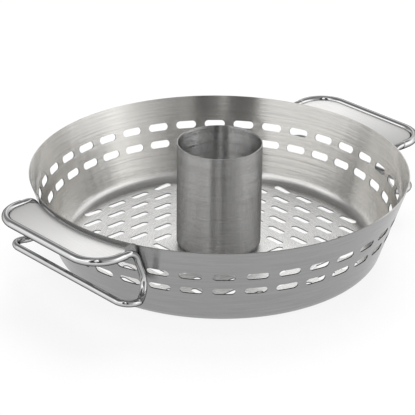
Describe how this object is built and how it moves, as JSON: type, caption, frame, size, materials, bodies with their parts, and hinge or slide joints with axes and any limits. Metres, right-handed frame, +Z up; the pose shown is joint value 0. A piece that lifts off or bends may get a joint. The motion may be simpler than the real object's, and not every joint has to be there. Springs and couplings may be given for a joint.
{
  "type": "poultry roaster pan",
  "caption": "Round pierced steel roasting pan for a grill, with a central can cup that twists to lock and a wire handle with a pressed grip plate on each side.",
  "frame": {"origin": "centre of the pan on the ground that it stands on", "axes": "+Z up, handles along +X and -X"},
  "size_m": [0.4112, 0.34, 0.1022],
  "materials": {
    "pan_steel": "circular brushed",
    "cup_steel": "circular brushed",
    "stud_steel": "satin",
    "wire_steel": "polished",
    "grip_steel": "satin"
  },
  "bodies": {
    "pan": {"roasting_pan": "pan_steel", "handle_wire_right": "wire_steel", "handle_wire_left": "wire_steel", "grip_plate_right": "grip_steel", "grip_plate_left": "grip_steel"},
    "cup": {"can_cup": "cup_steel", "lock_studs": "stud_steel"}
  },
  "joints": [
    {"name": "cup_twist", "type": "hinge", "parent": "pan", "child": "cup", "pos_m": [0, 0, 0.0058], "axis": [0, 0, 1], "range_deg": [0, 32]}
  ]
}
